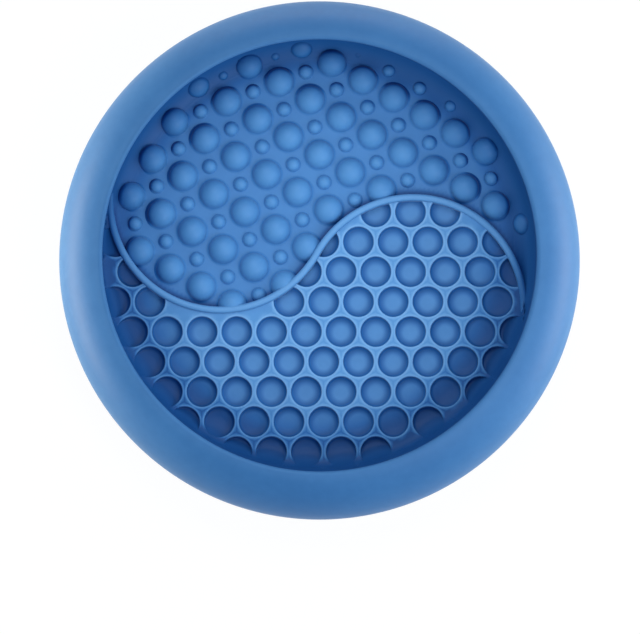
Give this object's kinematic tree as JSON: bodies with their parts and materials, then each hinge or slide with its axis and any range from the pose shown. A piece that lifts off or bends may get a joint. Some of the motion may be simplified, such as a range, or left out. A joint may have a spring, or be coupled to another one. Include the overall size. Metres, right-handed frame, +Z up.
{
  "type": "lick mat",
  "caption": "Round silicone lick bowl with a fat rounded rim, a yin-yang floor of domes and honeycomb pockets split by an S-shaped rib, and push-in suction cups underneath.",
  "frame": {"origin": "centre of the bowl's footprint, on the surface that it stands on", "axes": "+Z up through the middle of the bowl, +Y towards the top of the picture, +X towards its right"},
  "size_m": [0.15, 0.15, 0.0305],
  "materials": {
    "bowl_silicone": "satin moulded silicone",
    "cup_silicone": "smooth glossy silicone"
  },
  "bodies": {
    "root": {"bowl": "bowl_silicone", "suction_cup_centre": "cup_silicone", "suction_cup_1": "cup_silicone", "suction_cup_2": "cup_silicone", "suction_cup_3": "cup_silicone", "suction_cup_4": "cup_silicone", "suction_cup_5": "cup_silicone", "suction_cup_6": "cup_silicone"}
  },
  "joints": []
}
